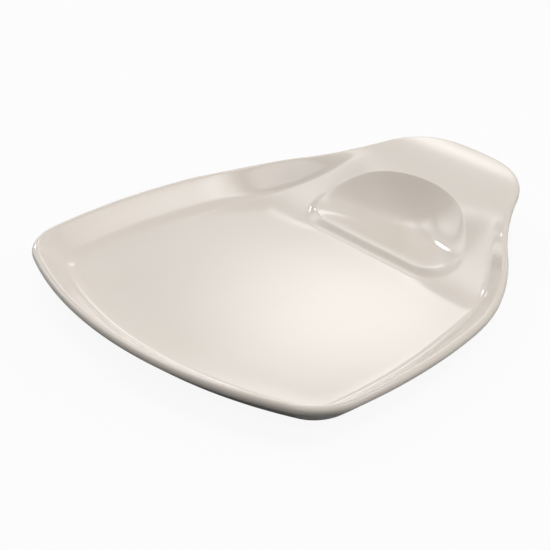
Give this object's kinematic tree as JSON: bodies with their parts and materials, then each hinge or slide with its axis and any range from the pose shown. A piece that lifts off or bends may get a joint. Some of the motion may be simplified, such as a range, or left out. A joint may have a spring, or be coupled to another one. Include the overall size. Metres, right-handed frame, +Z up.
{
  "type": "steak plate",
  "caption": "Fan-shaped glazed porcelain plate with a rolled rim, a raised handle tab and a half-round sauce well, for serving a steak with its sauce.",
  "frame": {"origin": "middle of the plate's bounding box, on the plane that the foot stands on", "axes": "+Y from the wide edge of the tray to the handle tab, +X across the plate, +Z up"},
  "size_m": [0.29, 0.32, 0.0445],
  "materials": {
    "porcelain": "matte, ground at the foot",
    "glaze": "glossy"
  },
  "bodies": {
    "root": {"porcelain_body": "porcelain", "glaze": "glaze", "base_glaze": "glaze"}
  },
  "joints": []
}
